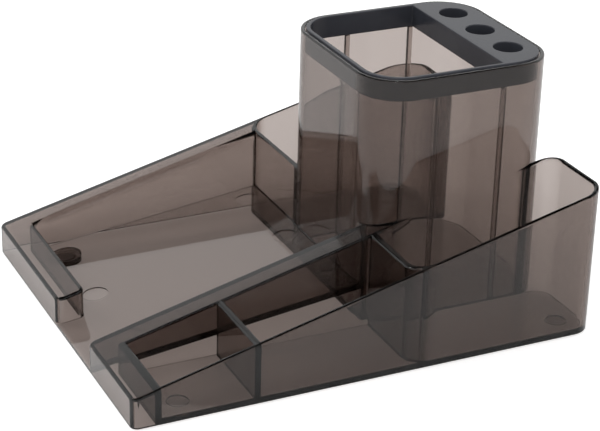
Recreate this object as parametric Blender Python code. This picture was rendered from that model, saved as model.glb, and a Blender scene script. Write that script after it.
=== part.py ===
"""Desk pen stand: a smoked clear body with a note tray, bins and a pen cup,
a dark pen rack that drops into the cup, and four soft pads under the body.

Run with: blender --background --python part.py
Metres, +Z up, front towards -Y, origin on the desk under the middle of the stand.
"""
import math

import bmesh
import bpy
from mathutils import Vector

MM = 0.001

# Body as a whole. Its sizes are measured from its left, front and lower faces.
BODY_WIDTH = 164.0 * MM
BODY_DEPTH = 201.5 * MM
WALL = 2.0 * MM
FLOOR = 2.0 * MM
PARTITION = 2.6 * MM
RIM_FRONT_HEIGHT = 12.6 * MM
RIM_BACK_HEIGHT = 63.7 * MM
FRONT_CORNER = 3.0 * MM
BACK_LEFT_CORNER = 16.0 * MM
BACK_RIGHT_CORNER = 9.3 * MM
CUP_SIDE_CORNER = 8.0 * MM

# Pen cup, at the back, one wall with the right-hand bins
CUP_WIDTH = 84.0 * MM
CUP_DEPTH = 84.0 * MM
CUP_HEIGHT = 105.5 * MM
CUP_CORNER = 18.8 * MM
CUP_SETBACK = 1.5 * MM
CUP_FLOOR = 2.0 * MM
RIB_WIDTH = 2.0 * MM
RIB_REACH = 1.6 * MM
FRONT_RIB_FROM_CUP_FRONT = 28.0 * MM
BACK_RIB_FROM_CUP_FRONT = 58.4 * MM

# Right-hand row: two bins and a back bin behind the front deck
BIN_WIDTH = 36.0 * MM
FIRST_BIN_LENGTH = 37.6 * MM
BACK_BIN_FRONT_CORNER = 8.0 * MM
BACK_BIN_CUP_CORNER = 6.0 * MM

# Note tray, with the hollow decks round it: left rim, front lip, divider and right front
FRONT_DECK_DEPTH = 12.0 * MM
LIP_BACK_WALL = 1.2 * MM
LEFT_RIM_WIDTH = 12.0 * MM
DIVIDER_WIDTH = 10.4 * MM
TRAY_FRONT_HEIGHT = 1.6 * MM
TRAY_BACK_HEIGHT = 16.4 * MM
TRAY_PLATE = 2.0 * MM
LIP_LENGTH = 78.0 * MM
LIP_CORNER = 4.0 * MM
LIP_END_ROUND = 3.0 * MM
LEFT_BIN_SETBACK = 0.6 * MM
LEFT_BIN_CORNER = 8.0 * MM

# Pen rack that drops into the cup
RACK_CLEARANCE = 0.3 * MM
RACK_WALL = 1.9 * MM
RACK_DEPTH = 9.6 * MM
RACK_PROUD = 0.5 * MM
RACK_PLATE = 2.0 * MM
RACK_STRIP_LENGTH = 23.2 * MM
PEN_HOLE_COUNT = 3
PEN_HOLE_DIAMETER = 12.2 * MM
PEN_HOLE_SPACING = 22.7 * MM
PEN_HOLE_FROM_BACK = 11.7 * MM
SLEEVE_WALL = 1.4 * MM

# Pads pressed into round sockets
PAD_DIAMETER = 8.0 * MM
PAD_THICKNESS = 1.5 * MM
PAD_STAND = 0.6 * MM
PAD_CLEARANCE = 0.3 * MM
BOSS_DIAMETER = 13.6 * MM
TRAY_PAD_INSET_X = 22.5 * MM
BIN_PAD_INSET_X = 12.5 * MM
FRONT_PAD_INSET_Y = 22.5 * MM
BACK_PAD_INSET_Y = 11.5 * MM

# Every cut runs past the faces it opens by this much.
OVERRUN = 1.0 * MM

ARC_STEP = math.radians(7.5)
SHARP_ANGLE = math.radians(25.0)
BOSS_SIDES = 32
PEN_HOLE_SIDES = 40

# Where the partition's front arc meets the right wall, as a share of the arc's radius
ARC_MEETS_WALL_SHARE = 0.95

# Most of a wall's length that the rounds at its two ends may take
ROUNDS_ON_WALL_SHARE = 0.98

# Places that follow from the sizes above
inner_right = BODY_WIDTH - WALL
cup_right = inner_right - BIN_WIDTH
cup_left = cup_right - CUP_WIDTH
cup_back = BODY_DEPTH - CUP_SETBACK
cup_front = cup_back - CUP_DEPTH
cup_middle_x = cup_left + CUP_WIDTH / 2
cup_middle_y = cup_front + CUP_DEPTH / 2
divider_left = cup_right - DIVIDER_WIDTH
lip_hollow_back = FRONT_DECK_DEPTH - LIP_BACK_WALL
right_hollow_back = FRONT_DECK_DEPTH - PARTITION
first_bin_back = FRONT_DECK_DEPTH + FIRST_BIN_LENGTH
second_bin_front = first_bin_back + PARTITION
left_bin_front = cup_front + LEFT_BIN_SETBACK
rim_slope = (RIM_BACK_HEIGHT - RIM_FRONT_HEIGHT) / BODY_DEPTH
tray_slope = (TRAY_BACK_HEIGHT - TRAY_FRONT_HEIGHT) / cup_front
rack_bottom = CUP_HEIGHT + RACK_PROUD - RACK_DEPTH
socket_diameter = PAD_DIAMETER + 2 * PAD_CLEARANCE
socket_depth = PAD_THICKNESS - PAD_STAND + PAD_CLEARANCE


def rim(point, lift=0.0):
    """Height of the sloping rims, with a lift above or below them."""
    return RIM_FRONT_HEIGHT + rim_slope * point.y + lift


def tray(point, lift=0.0):
    """Height of the tray's sloping floor, with a lift above or below it."""
    return TRAY_FRONT_HEIGHT + tray_slope * point.y + lift


def arc(centre_x, centre_y, radius, start, end):
    """Points of an arc in plan, from one angle to another."""
    steps = max(2, math.ceil(abs(end - start) / ARC_STEP))
    points = []
    for step in range(steps + 1):
        angle = start + (end - start) * step / steps
        points.append(Vector((centre_x + radius * math.cos(angle),
                              centre_y + radius * math.sin(angle))))
    return points


def fitted_radii(corners):
    """Each corner's radius, made smaller where two rounds would not fit on the wall between."""
    places = [Vector(corner[:2]) for corner in corners]
    radii = [corner[2] if len(corner) > 2 else 0.0 for corner in corners]
    reaches = []
    for index, radius in enumerate(radii):
        towards_last = places[index - 1] - places[index]
        towards_next = places[(index + 1) % len(places)] - places[index]
        reaches.append(radius / math.tan(towards_last.angle(towards_next) / 2))
    fitted = []
    for index, radius in enumerate(radii):
        for other in (index - 1, (index + 1) % len(places)):
            room = ROUNDS_ON_WALL_SHARE * (places[other] - places[index]).length
            needed = reaches[index] + reaches[other]
            if needed > room:
                radius = min(radius, radii[index] * room / needed)
        fitted.append(radius)
    return fitted


def outline(corners):
    """Points of a closed outline. A corner is a point, or (x, y, radius) to be rounded."""
    points = []
    radii = fitted_radii(corners)
    for index, (corner, radius) in enumerate(zip(corners, radii)):
        here = Vector(corner[:2])
        if radius == 0.0:
            points.append(here)
            continue
        towards_last = (Vector(corners[index - 1][:2]) - here).normalized()
        towards_next = (Vector(corners[(index + 1) % len(corners)][:2]) - here).normalized()
        half = towards_last.angle(towards_next) / 2
        centre = here + (towards_last + towards_next).normalized() * (radius / math.sin(half))
        start = here + towards_last * (radius / math.tan(half)) - centre
        end = here + towards_next * (radius / math.tan(half)) - centre
        first_angle = math.atan2(start.y, start.x)
        turn = math.atan2(start.x * end.y - start.y * end.x, start.dot(end))
        points += arc(centre.x, centre.y, radius, first_angle, first_angle + turn)
    return points


def circle(x, y, diameter, sides):
    """Points of a round outline."""
    points = []
    for side in range(sides):
        angle = math.tau * side / sides
        points.append(Vector((x + diameter / 2 * math.cos(angle),
                              y + diameter / 2 * math.sin(angle))))
    return points


def solid(name, lower_ring, upper_ring, stand):
    """A closed object between two rings of points, on the stand's empty."""
    mesh = bmesh.new()
    lower = [mesh.verts.new(point) for point in lower_ring]
    upper = [mesh.verts.new(point) for point in upper_ring]
    mesh.faces.new(reversed(lower))
    mesh.faces.new(upper)
    for index in range(len(lower)):
        last = index - 1
        mesh.faces.new((lower[last], lower[index], upper[index], upper[last]))
    bmesh.ops.recalc_face_normals(mesh, faces=mesh.faces)
    data = bpy.data.meshes.new(name)
    mesh.to_mesh(data)
    mesh.free()
    made = bpy.data.objects.new(name, data)
    made.parent = stand
    bpy.context.scene.collection.objects.link(made)
    return made


def prism(name, points, bottom, top, stand):
    """An upright solid on an outline; bottom and top are heights or functions of the point."""
    def ring(height):
        if callable(height):
            return [Vector((point.x, point.y, height(point))) for point in points]
        return [Vector((point.x, point.y, height)) for point in points]
    return solid(name, ring(bottom), ring(top), stand)


def change(target, operation, tool):
    """Cut a tool out of a target, or join it on; the tool stays as a guide until settle()."""
    modifier = target.modifiers.new(tool.name, "BOOLEAN")
    modifier.operation = operation
    modifier.solver = "EXACT"
    modifier.object = tool
    tool.hide_render = True
    tool.display_type = "WIRE"


def settle(piece, surface):
    """Apply a piece's cuts, remove their tools, and give it its material and smooth rounds."""
    tools = [modifier.object for modifier in piece.modifiers]
    if tools:
        bpy.context.view_layer.update()
        evaluated = piece.evaluated_get(bpy.context.evaluated_depsgraph_get())
        piece.data = bpy.data.meshes.new_from_object(evaluated)
        piece.data.name = piece.name
        piece.modifiers.clear()
    for tool in tools:
        bpy.data.objects.remove(tool, do_unlink=True)
    piece.data.materials.clear()
    piece.data.materials.append(surface)
    piece.data.shade_smooth()
    piece.data.set_sharp_from_angle(angle=SHARP_ANGLE)


def rectangle(left, right, front, back):
    """Corners of a plain rectangle in plan."""
    return outline([(left, front), (right, front), (right, back), (left, back)])


def above_rim(point):
    """Height just over the rims, where a pocket's cutter ends."""
    return rim(point, OVERRUN)


def under_rim(point):
    """Underside of the plate that closes a hollow rim."""
    return rim(point, -WALL)


def tray_underside(point):
    """Underside of the tray's plate."""
    return tray(point, -TRAY_PLATE)


def base_block(stand):
    """The low part of the body before anything is cut: two bins' ends stand beside the cup."""
    recess = cup_back - CUP_CORNER - WALL
    points = outline([
        (0.0, 0.0, FRONT_CORNER),
        (BODY_WIDTH, 0.0, FRONT_CORNER),
        (BODY_WIDTH, BODY_DEPTH, BACK_RIGHT_CORNER),
        (cup_right - WALL, BODY_DEPTH, CUP_SIDE_CORNER),
        (cup_right - WALL, recess),
        (cup_left + WALL, recess),
        (cup_left + WALL, BODY_DEPTH, CUP_SIDE_CORNER),
        (0.0, BODY_DEPTH, BACK_LEFT_CORNER),
    ])
    return prism("body", points, 0.0, rim, stand)


def cut_tray(body, stand):
    """The note tray, open at the front beside the lip."""
    quarter = math.pi / 2
    points = [Vector((LIP_LENGTH - LIP_CORNER, -OVERRUN)),
              Vector((divider_left + FRONT_CORNER, -OVERRUN))]
    points += arc(divider_left + FRONT_CORNER, FRONT_CORNER, FRONT_CORNER, -quarter, -2 * quarter)
    points += outline([
        (divider_left, left_bin_front),
        (LEFT_RIM_WIDTH, left_bin_front),
        (LEFT_RIM_WIDTH, FRONT_DECK_DEPTH),
        (LIP_LENGTH, FRONT_DECK_DEPTH, LIP_END_ROUND),
        (LIP_LENGTH, LIP_CORNER),
    ])
    points += arc(LIP_LENGTH - LIP_CORNER, LIP_CORNER, LIP_CORNER, 0.0, -quarter)[1:]
    change(body, "DIFFERENCE", prism("tray_cut", points, tray, above_rim, stand))


def cut_right_row(body, stand):
    """Two bins and the back bin down the right-hand side."""
    first = rectangle(cup_right, inner_right, FRONT_DECK_DEPTH, first_bin_back)
    change(body, "DIFFERENCE", prism("first_bin_cut", first, FLOOR, above_rim, stand))

    corner = BACK_BIN_FRONT_CORNER
    arc_x = inner_right - ARC_MEETS_WALL_SHARE * corner
    arc_y = cup_front + corner
    second = [Vector((cup_right, second_bin_front)), Vector((inner_right, second_bin_front))]
    second += arc(arc_x, arc_y, corner, -math.acos(ARC_MEETS_WALL_SHARE), -math.pi / 2)
    second.append(Vector((cup_right, cup_front)))
    change(body, "DIFFERENCE", prism("second_bin_cut", second, FLOOR, above_rim, stand))

    back = outline([
        (cup_right, cup_front + PARTITION),
        (inner_right, cup_front + PARTITION, corner),
        (inner_right, BODY_DEPTH - WALL, BACK_RIGHT_CORNER - WALL),
        (cup_right, BODY_DEPTH - WALL, BACK_BIN_CUP_CORNER),
    ])
    change(body, "DIFFERENCE", prism("back_bin_cut", back, FLOOR, above_rim, stand))


def cut_left_bin(body, stand):
    """The bin behind the tray, on the left of the cup, whose rounded corner it goes around."""
    points = outline([
        (WALL, left_bin_front + WALL, LEFT_BIN_CORNER),
        (cup_left + CUP_CORNER, left_bin_front + WALL),
        (cup_left + CUP_CORNER, cup_front + CUP_CORNER),
        (cup_left, cup_front + CUP_CORNER),
        (cup_left, BODY_DEPTH - WALL, BACK_BIN_CUP_CORNER),
        (WALL, BODY_DEPTH - WALL, BACK_LEFT_CORNER - WALL),
    ])
    change(body, "DIFFERENCE", prism("left_bin_cut", points, FLOOR, above_rim, stand))


def cut_underside(body, stand):
    """Hollows under the decks and the tray, open towards the desk."""
    left = outline([
        (WALL, WALL, FRONT_CORNER - WALL),
        (LIP_LENGTH - WALL, WALL, LIP_CORNER - WALL),
        (LIP_LENGTH - WALL, lip_hollow_back, LIP_END_ROUND - WALL),
        (LEFT_RIM_WIDTH - WALL, lip_hollow_back),
        (LEFT_RIM_WIDTH - WALL, left_bin_front),
        (WALL, left_bin_front),
    ])[:-2]
    corner = LEFT_BIN_CORNER + WALL
    turn = math.acos((corner - WALL) / corner)
    left += arc(corner, left_bin_front + corner, corner, -math.pi / 2, turn - math.pi)
    change(body, "DIFFERENCE", prism("left_rim_hollow", left, -OVERRUN, under_rim, stand))

    middle = rectangle(WALL, cup_right - WALL, WALL, left_bin_front)
    change(body, "DIFFERENCE", prism("tray_hollow", middle, -OVERRUN, tray_underside, stand))

    right = outline([
        (divider_left + WALL, WALL),
        (inner_right, WALL, FRONT_CORNER - WALL),
        (inner_right, right_hollow_back),
        (cup_right - WALL, right_hollow_back),
        (cup_right - WALL, cup_front + CUP_CORNER),
        (divider_left + WALL, cup_front + CUP_CORNER),
    ])
    change(body, "DIFFERENCE", prism("divider_hollow", right, -OVERRUN, under_rim, stand))


def add_cup(body, stand):
    """The tall pen cup, with four ribs inside that carry the pen rack."""
    block = outline([
        (cup_left, cup_front, CUP_CORNER),
        (cup_right, cup_front, CUP_CORNER),
        (cup_right, cup_back, CUP_CORNER),
        (cup_left, cup_back, CUP_CORNER),
    ])
    change(body, "UNION", prism("cup_block", block, 0.0, CUP_HEIGHT, stand))

    inner_corner = CUP_CORNER - WALL
    bore = outline([
        (cup_left + WALL, cup_front + WALL, inner_corner),
        (cup_right - WALL, cup_front + WALL, inner_corner),
        (cup_right - WALL, cup_back - WALL, inner_corner),
        (cup_left + WALL, cup_back - WALL, inner_corner),
    ])
    change(body, "DIFFERENCE", prism("cup_bore", bore, CUP_FLOOR, CUP_HEIGHT + OVERRUN, stand))

    rib_top = rack_bottom - RACK_CLEARANCE
    for side, wall_middle, reach in (("left", cup_left + WALL / 2, 1), ("right", cup_right - WALL / 2, -1)):
        tip = wall_middle + reach * (WALL / 2 + RIB_REACH)
        for place, distance in (("front", FRONT_RIB_FROM_CUP_FRONT), ("back", BACK_RIB_FROM_CUP_FRONT)):
            middle = cup_front + distance
            points = rectangle(min(wall_middle, tip), max(wall_middle, tip),
                               middle - RIB_WIDTH / 2, middle + RIB_WIDTH / 2)
            rib = prism(f"{side}_{place}_rib", points, CUP_FLOOR / 2, rib_top, stand)
            change(body, "UNION", rib)


def pad_places():
    """Name, x, y and whether the pad is under the tray, for each of the four pads."""
    front = FRONT_PAD_INSET_Y
    back = BODY_DEPTH - BACK_PAD_INSET_Y
    return (
        ("front_left", TRAY_PAD_INSET_X, front, True),
        ("front_right", BODY_WIDTH - BIN_PAD_INSET_X, front, False),
        ("back_left", BIN_PAD_INSET_X, back, False),
        ("back_right", BODY_WIDTH - BIN_PAD_INSET_X, back, False),
    )


def add_pad_sockets(body, stand):
    """A socket at each pad that holds it from below; under the tray it is in a round boss."""
    def tray_middle(point):
        return tray(point, -TRAY_PLATE / 2)

    for name, x, y, under_tray in pad_places():
        if under_tray:
            boss = circle(x, y, BOSS_DIAMETER, BOSS_SIDES)
            change(body, "UNION", prism(f"{name}_boss", boss, 0.0, tray_middle, stand))
        socket = circle(x, y, socket_diameter, BOSS_SIDES)
        change(body, "DIFFERENCE", prism(f"{name}_socket", socket, -OVERRUN, socket_depth, stand))


def make_body(stand):
    """The one-piece moulding."""
    body = base_block(stand)
    cut_tray(body, stand)
    cut_right_row(body, stand)
    cut_left_bin(body, stand)
    cut_underside(body, stand)
    add_cup(body, stand)
    add_pad_sockets(body, stand)
    return body


def make_rack(stand):
    """The drop-in ring with a strip of pen holes; its origin is under the cup's middle."""
    half_width = CUP_WIDTH / 2 - WALL - RACK_CLEARANCE
    half_depth = CUP_DEPTH / 2 - WALL - RACK_CLEARANCE
    corner = CUP_CORNER - WALL - RACK_CLEARANCE
    inner_x = half_width - RACK_WALL
    inner_y = half_depth - RACK_WALL
    inner_corner = corner - RACK_WALL
    strip_front = half_depth - RACK_STRIP_LENGTH

    ring = outline([
        (-half_width, -half_depth, corner),
        (half_width, -half_depth, corner),
        (half_width, half_depth, corner),
        (-half_width, half_depth, corner),
    ])
    rack = prism("pen_rack", ring, 0.0, RACK_DEPTH, stand)
    rack.location = (cup_middle_x, cup_middle_y, rack_bottom)

    mouth = outline([
        (-inner_x, -inner_y, inner_corner),
        (inner_x, -inner_y, inner_corner),
        (inner_x, strip_front),
        (-inner_x, strip_front),
    ])
    change(rack, "DIFFERENCE", prism("rack_mouth", mouth, -OVERRUN, RACK_DEPTH + OVERRUN, rack))

    pocket = outline([
        (-inner_x, strip_front + RACK_WALL),
        (inner_x, strip_front + RACK_WALL),
        (inner_x, inner_y, inner_corner),
        (-inner_x, inner_y, inner_corner),
    ])
    pocket_top = RACK_DEPTH - RACK_PLATE
    change(rack, "DIFFERENCE", prism("rack_strip_pocket", pocket, -OVERRUN, pocket_top, rack))

    hole_y = half_depth - PEN_HOLE_FROM_BACK
    hole_places = [(hole - (PEN_HOLE_COUNT - 1) / 2) * PEN_HOLE_SPACING for hole in range(PEN_HOLE_COUNT)]
    for index, hole_x in enumerate(hole_places):
        sleeve = circle(hole_x, hole_y, PEN_HOLE_DIAMETER + 2 * SLEEVE_WALL, PEN_HOLE_SIDES)
        change(rack, "UNION", prism(f"sleeve_{index + 1}", sleeve, 0.0, pocket_top + RACK_PLATE / 2, rack))
    for index, hole_x in enumerate(hole_places):
        hole = circle(hole_x, hole_y, PEN_HOLE_DIAMETER, PEN_HOLE_SIDES)
        tool = prism(f"pen_hole_{index + 1}", hole, -OVERRUN, RACK_DEPTH + OVERRUN, rack)
        change(rack, "DIFFERENCE", tool)
    return rack


def make_pads(stand):
    """Four soft round pads that stand a little below the body."""
    pads = []
    for name, x, y, _ in pad_places():
        pad = prism(f"pad_{name}", circle(0.0, 0.0, PAD_DIAMETER, BOSS_SIDES),
                    0.0, PAD_THICKNESS, stand)
        pad.location = (x, y, -PAD_STAND)
        pads.append(pad)
    return pads


def material(name, colour, roughness, clear=0.0):
    """A plain surface of one colour; clear is how much light goes through it."""
    made = bpy.data.materials.new(name)
    made.use_nodes = True
    shader = made.node_tree.nodes["Principled BSDF"]
    shader.inputs["Base Color"].default_value = (*colour, 1.0)
    shader.inputs["Roughness"].default_value = roughness
    shader.inputs["Metallic"].default_value = 0.0
    shader.inputs["Transmission Weight"].default_value = clear
    return made


def main():
    for thing in list(bpy.data.objects):
        bpy.data.objects.remove(thing, do_unlink=True)
    stand = bpy.data.objects.new("stand_frame", None)
    stand.location = (-BODY_WIDTH / 2, -BODY_DEPTH / 2, PAD_STAND)
    bpy.context.scene.collection.objects.link(stand)

    body = make_body(stand)
    rack = make_rack(stand)
    pads = make_pads(stand)
    smoked = material("smoked_clear_plastic", (0.42, 0.37, 0.34), 0.06, 0.85)
    charcoal = material("charcoal_plastic", (0.05, 0.05, 0.055), 0.3)
    grey = material("grey_soft_pad", (0.45, 0.44, 0.43), 0.6)
    settle(body, smoked)
    settle(rack, charcoal)
    for pad in pads:
        settle(pad, grey)


main()
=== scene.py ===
import math

import bmesh
import bpy
from mathutils import Matrix, Vector


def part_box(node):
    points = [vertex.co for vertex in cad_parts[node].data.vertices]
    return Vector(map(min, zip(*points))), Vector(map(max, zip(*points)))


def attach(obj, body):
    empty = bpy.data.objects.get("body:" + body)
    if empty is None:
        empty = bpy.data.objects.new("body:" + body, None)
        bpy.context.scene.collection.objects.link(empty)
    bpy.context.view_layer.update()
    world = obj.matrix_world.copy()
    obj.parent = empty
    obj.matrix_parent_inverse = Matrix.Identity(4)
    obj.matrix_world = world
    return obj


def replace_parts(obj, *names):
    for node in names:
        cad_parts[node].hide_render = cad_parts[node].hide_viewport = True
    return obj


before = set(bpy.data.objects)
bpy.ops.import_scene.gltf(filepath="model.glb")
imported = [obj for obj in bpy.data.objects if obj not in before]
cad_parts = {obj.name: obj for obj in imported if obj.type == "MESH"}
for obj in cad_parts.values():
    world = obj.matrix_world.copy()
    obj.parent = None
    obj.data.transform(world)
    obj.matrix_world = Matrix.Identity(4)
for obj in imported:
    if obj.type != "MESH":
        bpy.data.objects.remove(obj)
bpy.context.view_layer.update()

# A desk pen stand moulded in smoked clear plastic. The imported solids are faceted, so the body,
# the pen rack and the pads are made again here with fine rounds, softened edges and real finishes.
# Places are measured from the body's left, front and lower corner.

MM = 0.001

# Sizes that the frame gives
body_low, body_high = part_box("body")
rack_low, rack_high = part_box("pen_rack")
body_width = body_high.x - body_low.x
body_depth = body_high.y - body_low.y
cup_height = body_high.z - body_low.z
rack_width = rack_high.x - rack_low.x
rack_depth = rack_high.z - rack_low.z
rack_bottom = rack_low.z - body_low.z
rack_back = rack_high.y - body_low.y

# Walls and rims of the body
WALL = 2.0 * MM
FLOOR = 2.0 * MM
PARTITION = 2.6 * MM
RIM_FRONT_HEIGHT = 12.6 * MM
RIM_BACK_HEIGHT = 63.7 * MM
FRONT_CORNER = 3.0 * MM
BACK_LEFT_CORNER = 16.0 * MM
BACK_RIGHT_CORNER = 9.3 * MM
CUP_SIDE_CORNER = 8.0 * MM

# Pen cup
CUP_CORNER = 18.8 * MM
CUP_FLOOR = 2.0 * MM
RIB_WIDTH = 2.0 * MM
RIB_REACH = 1.6 * MM
FRONT_RIB_FROM_CUP_FRONT = 28.0 * MM
BACK_RIB_FROM_CUP_FRONT = 58.4 * MM
RACK_CLEARANCE = 0.3 * MM

# Right-hand row of bins
BIN_WIDTH = 36.0 * MM
FIRST_BIN_LENGTH = 37.6 * MM
BACK_BIN_FRONT_CORNER = 8.0 * MM
BACK_BIN_CUP_CORNER = 6.0 * MM

# Note tray, with the hollow decks round it: left rim, front lip, divider and right front
FRONT_DECK_DEPTH = 12.0 * MM
LIP_BACK_WALL = 1.2 * MM
LEFT_RIM_WIDTH = 12.0 * MM
DIVIDER_WIDTH = 10.4 * MM
TRAY_FRONT_HEIGHT = 1.6 * MM
TRAY_BACK_HEIGHT = 16.4 * MM
TRAY_PLATE = 2.0 * MM
LIP_LENGTH = 78.0 * MM
LIP_CORNER = 4.0 * MM
LIP_END_ROUND = 3.0 * MM
LEFT_BIN_SETBACK = 0.6 * MM
LEFT_BIN_CORNER = 8.0 * MM

# Round marks that the mould's ejector pins sink into the tray, in a front and a back row
MARK_DIAMETER = 10.6 * MM
MARK_DEPTH = 0.4 * MM
MARK_SPACING = 40.5 * MM
MARK_FRONT = 21.5 * MM
MARK_BACK = 108.0 * MM
MARK_FIRST = 22.5 * MM
MARKS_IN_ROW = 3

# Pad sockets
SOCKET_CLEARANCE = 0.3 * MM
BOSS_DIAMETER = 13.6 * MM

# Pen rack
RACK_WALL = 1.9 * MM
RACK_PLATE = 2.0 * MM
RACK_STRIP_LENGTH = 23.2 * MM
PEN_HOLE_COUNT = 3
PEN_HOLE_DIAMETER = 12.2 * MM
PEN_HOLE_SPACING = 22.7 * MM
PEN_HOLE_FROM_BACK = 11.7 * MM
SLEEVE_WALL = 1.4 * MM

# How finely shapes are made
OVERRUN = 1.0 * MM
ARC_STEP = math.radians(3.0)
SHORTEST_CHORD = 0.2 * MM
CIRCLE_SIDES = 72
EDGE_ANGLE = math.radians(28.0)
WELD = 0.002 * MM
FLAT_ANGLE = math.radians(1.5)
LEVEL_SHARE = 0.9
LARGE_FACES_WEIGHT = 100

# An arc that would only touch a face has its centre this share of its radius from the face
ARC_MEETS_WALL_SHARE = 0.95

# The second bin's arc ends a little before the right wall, this share of its radius past its centre
ARC_ENDS_SHARE = 0.85

# How far round the cup's back corners the ends of the side bins leave its wall
CUP_LEAVES_ANGLE = math.radians(25.5)

# How round the edges are. The tray's side is the roundest, and the bevel takes shares of it.
SHARP_EDGE = 0.0
MARK_EDGE = 0.05 * MM
FINE_EDGE = 0.35 * MM
DECK_EDGE = 0.5 * MM
RIM_EDGE = 0.8 * MM
LIP_EDGE = 1.1 * MM
TRAY_SIDE_EDGE = 3.0 * MM
RACK_EDGE = 0.45 * MM
PAD_EDGE = 0.5 * MM
EDGE_STEPS = 4

# Smoked clear plastic: how much light it takes in, how its surface shines, its haze and waviness,
# and how much light each surface passes on to what is behind it
SMOKE_DENSITY = 565.0
SMOKE_COLOUR = (0.32, 0.214, 0.163, 1.0)
CLEAR_IOR = 1.57
CLEAR_GLOSS = 0.65
CLEAR_ROUGHNESS = 0.012
HAZE_ROUGHNESS = 0.03
HAZE_SCALE = 160.0
HAZE_DETAIL = 3.0
FLOW_SCALE = 38.0
FLOW_DETAIL = 1.0
FLOW_STRENGTH = 0.12
FLOW_DEPTH = 0.4 * MM
SHADOW_PASSES = 0.92

# Cloudy tones of the rack and the pads: the noise behind them, and where on it they begin and end
CLOUD_DETAIL = 3.0
CLOUD_FROM = 0.3
CLOUD_TO = 0.7

# Satin charcoal of the rack
CHARCOAL_DARK = (0.032, 0.034, 0.042, 1.0)
CHARCOAL_LIGHT = (0.043, 0.046, 0.055, 1.0)
CHARCOAL_IOR = 1.5
CHARCOAL_GLOSS = 0.2
CHARCOAL_ROUGHNESS = 0.17
CHARCOAL_CLOUD_ROUGHNESS = 0.1
CHARCOAL_CLOUD_SCALE = 55.0
GRAIN_SCALE = 2600.0
GRAIN_DETAIL = 2.0
GRAIN_STRENGTH = 0.12
GRAIN_DEPTH = 0.05 * MM

# Soft grey rubber of the pads
RUBBER_DARK = (0.54, 0.53, 0.52, 1.0)
RUBBER_LIGHT = (0.64, 0.63, 0.62, 1.0)
RUBBER_IOR = 1.43
RUBBER_ROUGHNESS = 0.5
RUBBER_CLOUD_ROUGHNESS = 0.15
RUBBER_CLOUD_SCALE = 700.0
RUBBER_STRENGTH = 0.2
RUBBER_DEPTH = 0.1 * MM

# Floor. The camera sees its whole glow, and clear plastic and gloss a share of it.
FLOOR_SIZE = 8.0
FLOOR_COLOUR = 0.94
FLOOR_GLOW = 0.42
GLOSS_SHARE = 0.2
PASSED_SHARE = 0.5

# Room. Gloss and clear plastic show white walls, and a dim ceiling from a height upwards. The two
# heights are sines of the angle above the horizon.
ROOM_LIGHT = 0.88
WALLS_TOP = 0.57
CEILING_FROM = 0.66
CEILING_TONE = 0.05

# Each lamp's name, place, size and power
LAMPS = (
    ("high_right_lamp", (0.9, -0.5, 1.1), 0.2, 4.0),
    ("high_left_lamp", (-0.7, -1.0, 1.2), 0.2, 3.0),
)

# Camera, as fitted to the stand's edges in the photograph
CAMERA_AZIMUTH = math.radians(64.237)
CAMERA_ELEVATION = math.radians(25.056)
CAMERA_ROLL = math.radians(1.517)
CAMERA_LENS = 113.99
CAMERA_SENSOR = 36.0
CAMERA_DISTANCE = 797.006 * MM
CAMERA_AIM = Vector((72.5 * MM, 100.0 * MM, 40.0 * MM))
CAMERA_OFF_RIGHT = 9.311 * MM
CAMERA_OFF_UP = -8.432 * MM

# Places that follow from the sizes above
inner_right = body_width - WALL
cup_width = rack_width + 2 * (RACK_CLEARANCE + WALL)
cup_right = inner_right - BIN_WIDTH
cup_left = cup_right - cup_width
cup_back = rack_back + RACK_CLEARANCE + WALL
cup_front = cup_back - cup_width
divider_left = cup_right - DIVIDER_WIDTH
lip_hollow_back = FRONT_DECK_DEPTH - LIP_BACK_WALL
right_hollow_back = FRONT_DECK_DEPTH - PARTITION
first_bin_back = FRONT_DECK_DEPTH + FIRST_BIN_LENGTH
second_bin_front = first_bin_back + PARTITION
left_bin_front = cup_front + LEFT_BIN_SETBACK
cup_wall_leaves = cup_back - CUP_CORNER * (1.0 - math.sin(CUP_LEAVES_ANGLE))
rim_slope = (RIM_BACK_HEIGHT - RIM_FRONT_HEIGHT) / body_depth
tray_slope = (TRAY_BACK_HEIGHT - TRAY_FRONT_HEIGHT) / cup_front


def rim(point, lift=0.0):
    """Height of the sloping rims, with a lift above or below them."""
    return RIM_FRONT_HEIGHT + rim_slope * point.y + lift


def tray(point, lift=0.0):
    """Height of the tray's sloping floor, with a lift above or below it."""
    return TRAY_FRONT_HEIGHT + tray_slope * point.y + lift


def above_rim(point):
    """Height just over the rims, where a pocket's cutter ends."""
    return rim(point, OVERRUN)


def arc(centre_x, centre_y, radius, start, end):
    """Points of an arc in plan, from one angle to another."""
    step_angle = max(ARC_STEP, SHORTEST_CHORD / radius)
    steps = max(2, math.ceil(abs(end - start) / step_angle))
    angles = [start + (end - start) * step / steps for step in range(steps + 1)]
    return [Vector((centre_x + radius * math.cos(angle), centre_y + radius * math.sin(angle)))
            for angle in angles]


def outline(corners):
    """Points of a closed outline. A corner is a point, or (x, y, radius) to be rounded."""
    points = []
    for index, corner in enumerate(corners):
        here = Vector(corner[:2])
        if len(corner) == 2:
            points.append(here)
            continue
        radius = corner[2]
        towards_last = (Vector(corners[index - 1][:2]) - here).normalized()
        towards_next = (Vector(corners[(index + 1) % len(corners)][:2]) - here).normalized()
        half = towards_last.angle(towards_next) / 2
        centre = here + (towards_last + towards_next).normalized() * (radius / math.sin(half))
        start = here + towards_last * (radius / math.tan(half)) - centre
        end = here + towards_next * (radius / math.tan(half)) - centre
        first_angle = math.atan2(start.y, start.x)
        turn = math.atan2(start.x * end.y - start.y * end.x, start.dot(end))
        points += arc(centre.x, centre.y, radius, first_angle, first_angle + turn)
    return points


def rectangle(left, right, front, back):
    """Corners of a plain rectangle in plan."""
    return outline([(left, front), (right, front), (right, back), (left, back)])


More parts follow.
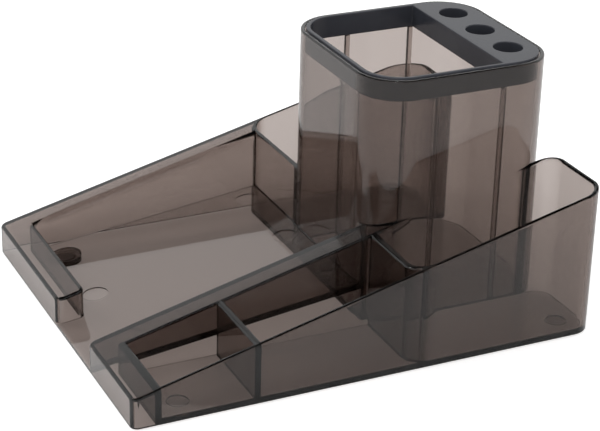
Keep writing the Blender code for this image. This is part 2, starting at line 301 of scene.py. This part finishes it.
def circle(x, y, diameter):
    """Points of a round outline."""
    angles = [math.tau * side / CIRCLE_SIDES for side in range(CIRCLE_SIDES)]
    return [Vector((x + diameter / 2 * math.cos(angle), y + diameter / 2 * math.sin(angle)))
            for angle in angles]


def solid(name, lower_ring, upper_ring):
    """A closed object between two rings of points, which are measured from the body's corner."""
    mesh = bmesh.new()
    lower = [mesh.verts.new(point + body_low) for point in lower_ring]
    upper = [mesh.verts.new(point + body_low) for point in upper_ring]
    mesh.faces.new(reversed(lower))
    mesh.faces.new(upper)
    for index in range(len(lower)):
        mesh.faces.new((lower[index - 1], lower[index], upper[index], upper[index - 1]))
    bmesh.ops.recalc_face_normals(mesh, faces=mesh.faces)
    data = bpy.data.meshes.new(name)
    mesh.to_mesh(data)
    mesh.free()
    made = bpy.data.objects.new(name, data)
    bpy.context.scene.collection.objects.link(made)
    return made


def prism(name, points, bottom, top):
    """An upright solid on an outline; bottom and top are heights or functions of the point."""
    def ring(height):
        if callable(height):
            return [Vector((point.x, point.y, height(point))) for point in points]
        return [Vector((point.x, point.y, height)) for point in points]
    return solid(name, ring(bottom), ring(top))


def change(target, operation, tool):
    """Cut a tool out of a piece, or join it on; settle() applies that and removes the tool."""
    modifier = target.modifiers.new(tool.name, "BOOLEAN")
    modifier.operation = operation
    modifier.solver = "EXACT"
    modifier.object = tool


def apply_modifiers(piece):
    """Turn a piece's modifiers into plain mesh."""
    bpy.context.view_layer.update()
    evaluated = piece.evaluated_get(bpy.context.evaluated_depsgraph_get())
    made = bpy.data.meshes.new_from_object(evaluated)
    old = piece.data
    piece.modifiers.clear()
    piece.data = made
    bpy.data.meshes.remove(old)
    made.name = piece.name


def split_level_faces(mesh, places):
    """Cut the level faces across at some depths, so that none of them goes round an opening."""
    for y in places:
        for face in mesh.faces:
            face.tag = abs(face.normal.z) > LEVEL_SHARE
        level = [face for face in mesh.faces if face.tag]
        edges = [edge for edge in mesh.edges if any(face.tag for face in edge.link_faces)]
        verts = [vert for vert in mesh.verts if any(face.tag for face in vert.link_faces)]
        cut = bmesh.ops.bisect_plane(mesh, geom=verts + edges + level, dist=WELD,
                                     plane_co=(0.0, y + body_low.y, 0.0), plane_no=(0.0, 1.0, 0.0))
        for item in cut["geom_cut"]:
            if isinstance(item, bmesh.types.BMEdge):
                item.seam = True


def settle(piece, roundness, split_places, surface):
    """Apply a piece's cuts, round its edges and give it its finish.

    Roundness gives the radius for an edge, from its middle, measured as the body's places are,
    and from whether the edge stands out.
    """
    tools = [modifier.object for modifier in piece.modifiers]
    if tools:
        apply_modifiers(piece)
    for tool in tools:
        bpy.data.objects.remove(tool, do_unlink=True)

    mesh = bmesh.new()
    mesh.from_mesh(piece.data)
    bmesh.ops.remove_doubles(mesh, verts=mesh.verts, dist=WELD)
    split_level_faces(mesh, split_places)
    bmesh.ops.dissolve_limit(mesh, angle_limit=FLAT_ANGLE, verts=mesh.verts, edges=mesh.edges,
                             delimit={"SEAM"})
    share = mesh.edges.layers.float.new("bevel_weight_edge")
    for edge in mesh.edges:
        if edge.calc_face_angle() > EDGE_ANGLE:
            middle = (edge.verts[0].co + edge.verts[1].co) / 2 - body_low
            edge[share] = roundness(middle, edge.is_convex) / TRAY_SIDE_EDGE
    mesh.to_mesh(piece.data)
    mesh.free()

    soften = piece.modifiers.new("round_edges", "BEVEL")
    soften.width = TRAY_SIDE_EDGE
    soften.segments = EDGE_STEPS
    soften.limit_method = "WEIGHT"
    soften.use_clamp_overlap = False
    soften.miter_outer = "MITER_SHARP"
    apply_modifiers(piece)
    piece.data.shade_smooth()
    piece.data.set_sharp_from_angle(angle=EDGE_ANGLE)
    weigh = piece.modifiers.new("flat_faces_stay_flat", "WEIGHTED_NORMAL")
    weigh.mode = "FACE_AREA"
    weigh.weight = LARGE_FACES_WEIGHT
    weigh.keep_sharp = True
    apply_modifiers(piece)
    piece.data.materials.clear()
    piece.data.materials.append(surface)


def near(first, second):
    """Whether two lengths are the same, but for rounding."""
    return abs(first - second) < WELD


def mark_places():
    """Middle of each round mark on the tray. A pad's boss has the front row's first place."""
    for row, y in enumerate((MARK_FRONT, MARK_BACK)):
        for column in range(MARKS_IN_ROW):
            if row or column:
                yield Vector((MARK_FIRST + column * MARK_SPACING, y))


def body_roundness(point, stands_out):
    """Radius of the body's edges: most on the tray's left side, little on its floors."""
    for place in mark_places():
        if (point.xy - place).length < MARK_DIAMETER / 2 + WELD and point.z > tray(point) - WELD:
            return MARK_EDGE
    if not stands_out:
        on_floor = near(point.z, FLOOR) or near(point.z, CUP_FLOOR) or near(point.z, tray(point))
        if near(point.z, rim(point, -WALL)) and near(point.x, LEFT_RIM_WIDTH - WALL):
            return TRAY_SIDE_EDGE
        return FINE_EDGE if on_floor and point.y > WALL else SHARP_EDGE
    if near(point.z, tray(point, -TRAY_PLATE)) or near(point.z, rim(point, -WALL)):
        return SHARP_EDGE
    if near(point.z, cup_height):
        return RIM_EDGE
    if near(point.z, 0.0) and cup_left < point.x < cup_right and point.y > cup_front:
        return SHARP_EDGE
    if not near(point.z, rim(point)):
        return DECK_EDGE if near(point.y, 0.0) else FINE_EDGE
    beside_cup_wall = near(point.x, cup_left) or near(point.x, cup_right)
    if beside_cup_wall and cup_front < point.y < cup_wall_leaves:
        return SHARP_EDGE
    beside_tray = FRONT_DECK_DEPTH < point.y < left_bin_front
    if beside_tray and near(point.x, LEFT_RIM_WIDTH):
        return TRAY_SIDE_EDGE
    if beside_tray and (near(point.x, divider_left) or near(point.x, cup_right)):
        return DECK_EDGE
    on_lip = LEFT_RIM_WIDTH < point.x < LIP_LENGTH + WELD and point.y < FRONT_DECK_DEPTH + WELD
    if on_lip and (near(point.y, FRONT_DECK_DEPTH) or point.x > LIP_LENGTH - LIP_CORNER):
        return LIP_EDGE
    return RIM_EDGE


def even(radius):
    """A roundness that gives every edge the same radius."""
    return lambda point, stands_out: radius


def make_body():
    """The one-piece moulding."""
    recess = cup_back - CUP_CORNER - WALL
    base = outline([
        (0.0, 0.0, FRONT_CORNER),
        (body_width, 0.0, FRONT_CORNER),
        (body_width, body_depth, BACK_RIGHT_CORNER),
        (cup_right - WALL, body_depth, CUP_SIDE_CORNER),
        (cup_right - WALL, recess),
        (cup_left + WALL, recess),
        (cup_left + WALL, body_depth, CUP_SIDE_CORNER),
        (0.0, body_depth, BACK_LEFT_CORNER),
    ])
    body = prism("stand_body", base, 0.0, rim)
    cut_tray(body)
    cut_bins(body)
    cut_underside(body)
    add_cup(body)
    sink_marks(body)
    add_sockets(body)
    return body


def cut_tray(body):
    """The note tray, open at the front beside its lip."""
    bend = math.asin(ARC_MEETS_WALL_SHARE)
    lip_y = ARC_MEETS_WALL_SHARE * LIP_CORNER
    divider_y = ARC_MEETS_WALL_SHARE * FRONT_CORNER
    lip_arc = arc(LIP_LENGTH - LIP_CORNER, lip_y, LIP_CORNER, 0.0, -bend)
    divider_arc = arc(divider_left + FRONT_CORNER, divider_y, FRONT_CORNER,
                      bend - math.pi, -math.pi)
    points = [Vector((lip_arc[-1].x, -OVERRUN)), Vector((divider_arc[0].x, -OVERRUN))]
    points += divider_arc
    points += outline([
        (divider_left, left_bin_front),
        (LEFT_RIM_WIDTH, left_bin_front),
        (LEFT_RIM_WIDTH, FRONT_DECK_DEPTH),
        (LIP_LENGTH, FRONT_DECK_DEPTH, LIP_END_ROUND),
        (LIP_LENGTH, lip_y),
    ])
    points += lip_arc[1:]
    change(body, "DIFFERENCE", prism("tray_cut", points, tray, above_rim))


def cut_bins(body):
    """Two bins and the back bin down the right side, and the bin left of the cup."""
    first = rectangle(cup_right, inner_right, FRONT_DECK_DEPTH, first_bin_back)
    change(body, "DIFFERENCE", prism("first_bin_cut", first, FLOOR, above_rim))

    corner = BACK_BIN_FRONT_CORNER
    arc_x = inner_right - ARC_MEETS_WALL_SHARE * corner
    arc_start = -math.acos(ARC_ENDS_SHARE)
    second_arc = arc(arc_x, cup_front + corner, corner, arc_start, -math.pi / 2)
    second = [
        Vector((cup_right, second_bin_front)),
        Vector((inner_right, second_bin_front)),
        Vector((inner_right, second_arc[0].y)),
        *second_arc,
        Vector((cup_right, cup_front)),
    ]
    change(body, "DIFFERENCE", prism("second_bin_cut", second, FLOOR, above_rim))

    back = outline([
        (cup_right, cup_front + PARTITION),
        (inner_right, cup_front + PARTITION, corner),
        (inner_right, body_depth - WALL, BACK_RIGHT_CORNER - WALL),
        (cup_right, body_depth - WALL, BACK_BIN_CUP_CORNER),
    ])
    change(body, "DIFFERENCE", prism("back_bin_cut", back, FLOOR, above_rim))

    left = outline([
        (WALL, left_bin_front + WALL, LEFT_BIN_CORNER),
        (cup_left + CUP_CORNER, left_bin_front + WALL),
        (cup_left + CUP_CORNER, cup_front + CUP_CORNER),
        (cup_left, cup_front + CUP_CORNER),
        (cup_left, body_depth - WALL, BACK_BIN_CUP_CORNER),
        (WALL, body_depth - WALL, BACK_LEFT_CORNER - WALL),
    ])
    change(body, "DIFFERENCE", prism("left_bin_cut", left, FLOOR, above_rim))


def cut_underside(body):
    """Hollows under the decks and the tray, open towards the desk."""
    def under_rim(point):
        return rim(point, -WALL)

    def under_tray(point):
        return tray(point, -TRAY_PLATE)

    left = outline([
        (WALL, WALL, FRONT_CORNER - WALL),
        (LIP_LENGTH - WALL, WALL, LIP_CORNER - WALL),
        (LIP_LENGTH - WALL, lip_hollow_back, LIP_END_ROUND - WALL),
        (LEFT_RIM_WIDTH - WALL, lip_hollow_back),
        (LEFT_RIM_WIDTH - WALL, left_bin_front),
        (WALL, left_bin_front),
    ])[:-2]
    corner = LEFT_BIN_CORNER + WALL
    turn = math.acos((corner - WALL) / corner)
    left += arc(corner, left_bin_front + corner, corner, -math.pi / 2, turn - math.pi)
    change(body, "DIFFERENCE", prism("left_rim_hollow", left, -OVERRUN, under_rim))

    middle = rectangle(WALL, cup_right - WALL, WALL, left_bin_front)
    change(body, "DIFFERENCE", prism("tray_hollow", middle, -OVERRUN, under_tray))

    right = outline([
        (divider_left + WALL, WALL),
        (inner_right, WALL, FRONT_CORNER - WALL),
        (inner_right, right_hollow_back),
        (cup_right - WALL, right_hollow_back),
        (cup_right - WALL, cup_front + CUP_CORNER),
        (divider_left + WALL, cup_front + CUP_CORNER),
    ])
    change(body, "DIFFERENCE", prism("divider_hollow", right, -OVERRUN, under_rim))


def cup_outline(inset):
    """The cup's plan, inset from its outer face."""
    left = cup_left + inset
    right = cup_right - inset
    front = cup_front + inset
    back = cup_back - inset
    corner = CUP_CORNER - inset
    return outline([(left, front, corner), (right, front, corner),
                    (right, back, corner), (left, back, corner)])


def add_cup(body):
    """The tall pen cup, with four ribs inside that carry the pen rack."""
    change(body, "UNION", prism("cup_block", cup_outline(0.0), 0.0, cup_height))
    bore = prism("cup_bore", cup_outline(WALL), CUP_FLOOR, cup_height + OVERRUN)
    change(body, "DIFFERENCE", bore)
    rib_top = rack_bottom - RACK_CLEARANCE
    sides = (("left", cup_left + WALL / 2, 1), ("right", cup_right - WALL / 2, -1))
    places = (("front", FRONT_RIB_FROM_CUP_FRONT), ("back", BACK_RIB_FROM_CUP_FRONT))
    for side, middle, reach in sides:
        tip = middle + reach * (WALL / 2 + RIB_REACH)
        for place, distance in places:
            y = cup_front + distance
            points = rectangle(min(middle, tip), max(middle, tip),
                               y - RIB_WIDTH / 2, y + RIB_WIDTH / 2)
            change(body, "UNION", prism(f"{side}_{place}_rib", points, CUP_FLOOR / 2, rib_top))


def sink_marks(body):
    """Shallow round sinkings in the tray's floor."""
    def mark_floor(point):
        return tray(point, -MARK_DEPTH)

    for index, place in enumerate(mark_places()):
        points = circle(place.x, place.y, MARK_DIAMETER)
        change(body, "DIFFERENCE", prism(f"mark_{index + 1}", points, mark_floor, above_rim))


def pad_boxes():
    """Each pad's name with its lowest and highest corner, measured from the body's corner."""
    for name in ("front_left", "front_right", "back_left", "back_right"):
        low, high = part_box(f"pad_{name}")
        yield name, low - body_low, high - body_low


def add_sockets(body):
    """A socket at each pad that holds it from below; under the tray it is in a round boss."""
    def inside_plate(point):
        return tray(point, -TRAY_PLATE / 2)

    for name, low, high in pad_boxes():
        middle = (low + high) / 2
        if name == "front_left":
            boss = circle(middle.x, middle.y, BOSS_DIAMETER)
            change(body, "UNION", prism("tray_boss", boss, 0.0, inside_plate))
        socket = circle(middle.x, middle.y, high.x - low.x + 2 * SOCKET_CLEARANCE)
        tool = prism(f"{name}_socket", socket, -OVERRUN, high.z + SOCKET_CLEARANCE)
        change(body, "DIFFERENCE", tool)


def make_rack():
    """The drop-in ring with its strip of pen holes."""
    outer = WALL + RACK_CLEARANCE
    inner = outer + RACK_WALL
    top = rack_bottom + rack_depth
    strip_front = rack_back - RACK_STRIP_LENGTH
    rack = prism("pen_rack_ring", cup_outline(outer), rack_bottom, top)

    left = cup_left + inner
    right = cup_right - inner
    front = cup_front + inner
    back = cup_back - inner
    corner = CUP_CORNER - inner
    mouth = outline([(left, front, corner), (right, front, corner),
                     (right, strip_front), (left, strip_front)])
    change(rack, "DIFFERENCE", prism("rack_mouth", mouth, rack_bottom - OVERRUN, top + OVERRUN))
    pocket_front = strip_front + RACK_WALL
    pocket = outline([(left, pocket_front), (right, pocket_front),
                      (right, back, corner), (left, back, corner)])
    pocket_top = top - RACK_PLATE
    change(rack, "DIFFERENCE", prism("rack_pocket", pocket, rack_bottom - OVERRUN, pocket_top))

    y = rack_back - PEN_HOLE_FROM_BACK
    places = [(cup_left + cup_right) / 2 + (hole - (PEN_HOLE_COUNT - 1) / 2) * PEN_HOLE_SPACING
              for hole in range(PEN_HOLE_COUNT)]
    sleeve_top = pocket_top + RACK_PLATE / 2
    for index, x in enumerate(places):
        sleeve = circle(x, y, PEN_HOLE_DIAMETER + 2 * SLEEVE_WALL)
        change(rack, "UNION", prism(f"sleeve_{index + 1}", sleeve, rack_bottom, sleeve_top))
    for index, x in enumerate(places):
        hole = circle(x, y, PEN_HOLE_DIAMETER)
        tool = prism(f"pen_hole_{index + 1}", hole, rack_bottom - OVERRUN, top + OVERRUN)
        change(rack, "DIFFERENCE", tool)
    return rack


def make_pads():
    """Four soft pads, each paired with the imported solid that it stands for."""
    pads = []
    for name, low, high in pad_boxes():
        middle = (low + high) / 2
        points = circle(middle.x, middle.y, high.x - low.x)
        pads.append((prism(f"soft_pad_{name}", points, low.z, high.z), f"pad_{name}"))
    return pads


class Finish:
    """One output of a shader node. Sums on it add Math nodes to its material."""

    def __init__(self, tree, socket=None):
        self.tree = tree
        self.socket = socket

    def node(self, kind, settings=(), sockets=(), output=0):
        """A new node of a kind, with its settings, and the values or links of its sockets."""
        made = self.tree.nodes.new(kind)
        for name, value in dict(settings).items():
            if name == "stops":
                set_stops(made.color_ramp, value)
            else:
                setattr(made, name, value)
        for name, value in dict(sockets).items():
            if isinstance(value, Finish):
                self.tree.links.new(value.socket, made.inputs[name])
            else:
                made.inputs[name].default_value = value
        return Finish(self.tree, made.outputs[output] if made.outputs else None)

    def sum(self, operation, first, second):
        return self.node("ShaderNodeMath", {"operation": operation}, {0: first, 1: second})

    def __add__(self, other):
        return self.sum("ADD", self, other)

    def __radd__(self, other):
        return self.sum("ADD", other, self)

    def __sub__(self, other):
        return self.sum("SUBTRACT", self, other)

    def __rsub__(self, other):
        return self.sum("SUBTRACT", other, self)

    def __mul__(self, other):
        return self.sum("MULTIPLY", self, other)

    def __rmul__(self, other):
        return self.sum("MULTIPLY", other, self)

    def largest(self, other):
        return self.sum("MAXIMUM", self, other)


def set_stops(ramp, stops):
    """Give a ramp its stops, as (place, colour) pairs."""
    while len(ramp.elements) > len(stops):
        ramp.elements.remove(ramp.elements[-1])
    while len(ramp.elements) < len(stops):
        ramp.elements.new(1.0)
    for element, (place, colour) in zip(ramp.elements, stops):
        element.position = place
        element.color = colour


def new_finish(name):
    """An empty material and the start of its nodes."""
    made = bpy.data.materials.new(name)
    made.use_nodes = True
    made.node_tree.nodes.clear()
    return made, Finish(made.node_tree)


def grey(level):
    """A colour that is the same in red, green and blue."""
    return (level, level, level, 1.0)


def noise(start, place, scale, detail):
    """Soft noise over a place on the surface."""
    return start.node("ShaderNodeTexNoise", sockets={
        "Vector": place, "Scale": scale, "Detail": detail})


def dents(start, height, strength, depth):
    """Dents in the surface, from a height."""
    return start.node("ShaderNodeBump", sockets={
        "Height": height, "Strength": strength, "Distance": depth})


def tones(start, cloud, dark, light):
    """Colour that drifts from dark to light over a cloud of noise."""
    stops = ((CLOUD_FROM, dark), (CLOUD_TO, light))
    return start.node("ShaderNodeValToRGB", {"stops": stops}, {"Fac": cloud})


def smoked_clear():
    """Clear moulded plastic that darkens with its depth, with the faint waviness of a moulding."""
    made, start = new_finish("smoked_clear_plastic")
    place = start.node("ShaderNodeTexCoord", output="Object")
    flow = noise(start, place, FLOW_SCALE, FLOW_DETAIL)
    haze = noise(start, place, HAZE_SCALE, HAZE_DETAIL)
    plastic = start.node("ShaderNodeBsdfPrincipled", sockets={
        "Base Color": grey(1.0),
        "Roughness": CLEAR_ROUGHNESS + haze * HAZE_ROUGHNESS,
        "IOR": CLEAR_IOR,
        "Specular Tint": grey(CLEAR_GLOSS),
        "Transmission Weight": 1.0,
        "Normal": dents(start, flow, FLOW_STRENGTH, FLOW_DEPTH),
    })
    passing = start.node("ShaderNodeBsdfTransparent", sockets={"Color": grey(SHADOW_PASSES)})
    shadow = start.node("ShaderNodeLightPath", output="Is Shadow Ray")
    spread = start.node("ShaderNodeLightPath", output="Is Diffuse Ray")
    surface = start.node("ShaderNodeMixShader", sockets={
        0: shadow.largest(spread), 1: plastic, 2: passing})
    smoke = start.node("ShaderNodeVolumeAbsorption", sockets={
        "Color": SMOKE_COLOUR, "Density": SMOKE_DENSITY})
    start.node("ShaderNodeOutputMaterial", sockets={"Surface": surface, "Volume": smoke})
    return made


def satin_charcoal():
    """Opaque dark plastic with a fine moulded grain."""
    made, start = new_finish("satin_charcoal_plastic")
    place = start.node("ShaderNodeTexCoord", output="Object")
    grain = noise(start, place, GRAIN_SCALE, GRAIN_DETAIL)
    cloud = noise(start, place, CHARCOAL_CLOUD_SCALE, CLOUD_DETAIL)
    plastic = start.node("ShaderNodeBsdfPrincipled", sockets={
        "Base Color": tones(start, cloud, CHARCOAL_DARK, CHARCOAL_LIGHT),
        "Roughness": CHARCOAL_ROUGHNESS + cloud * CHARCOAL_CLOUD_ROUGHNESS,
        "IOR": CHARCOAL_IOR,
        "Specular IOR Level": CHARCOAL_GLOSS,
        "Normal": dents(start, grain, GRAIN_STRENGTH, GRAIN_DEPTH),
    })
    start.node("ShaderNodeOutputMaterial", sockets={"Surface": plastic})
    return made


def soft_grey():
    """Pale matte rubber of the pads."""
    made, start = new_finish("soft_grey_pad")
    place = start.node("ShaderNodeTexCoord", output="Object")
    cloud = noise(start, place, RUBBER_CLOUD_SCALE, CLOUD_DETAIL)
    rubber = start.node("ShaderNodeBsdfPrincipled", sockets={
        "Base Color": tones(start, cloud, RUBBER_DARK, RUBBER_LIGHT),
        "Roughness": RUBBER_ROUGHNESS + cloud * RUBBER_CLOUD_ROUGHNESS,
        "IOR": RUBBER_IOR,
        "Normal": dents(start, cloud, RUBBER_STRENGTH, RUBBER_DEPTH),
    })
    start.node("ShaderNodeOutputMaterial", sockets={"Surface": rubber})
    return made


def rays(start):
    """Whether a ray shows the surroundings to the camera, in gloss or through clear plastic."""
    return [start.node("ShaderNodeLightPath", output=kind)
            for kind in ("Is Camera Ray", "Is Glossy Ray", "Is Transmission Ray")]


def make_floor():
    """A plain pale floor."""
    data = bpy.data.meshes.new("floor")
    half = FLOOR_SIZE / 2
    corners = [(-half, -half, 0.0), (half, -half, 0.0), (half, half, 0.0), (-half, half, 0.0)]
    data.from_pydata(corners, [], [(0, 1, 2, 3)])
    floor = bpy.data.objects.new("floor", data)
    bpy.context.scene.collection.objects.link(floor)
    made, start = new_finish("pale_floor")
    camera, gloss, passed = rays(start)
    paint = start.node("ShaderNodeBsdfDiffuse", sockets={"Color": grey(FLOOR_COLOUR)})
    seen = camera.largest(passed * PASSED_SHARE).largest(gloss * GLOSS_SHARE)
    glow = start.node("ShaderNodeEmission", sockets={
        "Color": grey(1.0), "Strength": seen * FLOOR_GLOW})
    both = start.node("ShaderNodeAddShader", sockets={0: paint, 1: glow})
    start.node("ShaderNodeOutputMaterial", sockets={"Surface": both})
    data.materials.append(made)


def light_room():
    """White surroundings, dimmer overhead in gloss and through clear plastic, and two lamps."""
    world = bpy.data.worlds.new("white_room")
    bpy.context.scene.world = world
    world.use_nodes = True
    world.node_tree.nodes.clear()
    start = Finish(world.node_tree)
    direction = start.node("ShaderNodeTexCoord", output="Generated")
    height = start.node("ShaderNodeSeparateXYZ", sockets={0: direction}, output=2)
    tone = start.node("ShaderNodeValToRGB", {"stops": (
        (WALLS_TOP, grey(1.0)),
        (CEILING_FROM, grey(CEILING_TONE)),
    )}, {"Fac": height})
    camera, gloss, passed = rays(start)
    shown = gloss.largest(passed)
    room = start.node("ShaderNodeBackground", sockets={
        "Color": grey(1.0),
        "Strength": ROOM_LIGHT + camera * (1.0 - ROOM_LIGHT) + shown * (tone - ROOM_LIGHT)})
    start.node("ShaderNodeOutputWorld", sockets={"Surface": room})
    for name, place, size, power in LAMPS:
        lamp = bpy.data.lights.new(name, "AREA")
        lamp.shape = "SQUARE"
        lamp.size = size
        lamp.energy = power
        holder = bpy.data.objects.new(name, lamp)
        holder.location = place
        holder.rotation_mode = "QUATERNION"
        holder.rotation_quaternion = Vector(place).to_track_quat("Z", "Y")
        bpy.context.scene.collection.objects.link(holder)


def place_camera():
    """The photograph's viewing place."""
    back = Vector((math.sin(CAMERA_AZIMUTH) * math.cos(CAMERA_ELEVATION),
                   -math.cos(CAMERA_AZIMUTH) * math.cos(CAMERA_ELEVATION),
                   math.sin(CAMERA_ELEVATION)))
    level = (-back).cross(Vector((0.0, 0.0, 1.0))).normalized()
    upright = level.cross(-back)
    across = math.cos(CAMERA_ROLL) * level + math.sin(CAMERA_ROLL) * upright
    up = math.cos(CAMERA_ROLL) * upright - math.sin(CAMERA_ROLL) * level
    data = bpy.data.cameras.new("camera")
    data.lens = CAMERA_LENS
    data.sensor_width = CAMERA_SENSOR
    data.sensor_fit = "HORIZONTAL"
    camera = bpy.data.objects.new("camera", data)
    eye = CAMERA_AIM + body_low + back * CAMERA_DISTANCE
    eye += level * CAMERA_OFF_RIGHT + upright * CAMERA_OFF_UP
    turned = Matrix((across, up, back)).transposed().to_4x4()
    camera.matrix_world = Matrix.Translation(eye) @ turned
    bpy.context.scene.collection.objects.link(camera)
    bpy.context.scene.camera = camera


def main():
    bpy.context.scene.view_settings.view_transform = "Standard"
    make_floor()
    light_room()
    place_camera()

    # Each piece's level faces are cut across at some depths, through its openings.
    body = make_body()
    _, pad_low, pad_high = next(pad_boxes())
    across_body = [
        (pad_low.y + pad_high.y) / 2,
        (FRONT_DECK_DEPTH + first_bin_back) / 2,
        (second_bin_front + cup_front) / 2,
        (cup_front + cup_back) / 2,
        cup_wall_leaves,
    ]
    settle(body, body_roundness, across_body, smoked_clear())
    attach(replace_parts(body, "body"), "base")

    rack = make_rack()
    across_rack = [(cup_front + cup_back) / 2, rack_back - PEN_HOLE_FROM_BACK]
    settle(rack, even(RACK_EDGE), across_rack, satin_charcoal())
    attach(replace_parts(rack, "pen_rack"), "rack")

    rubber = soft_grey()
    for pad, node in make_pads():
        settle(pad, even(PAD_EDGE), [], rubber)
        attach(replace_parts(pad, node), "base")


main()
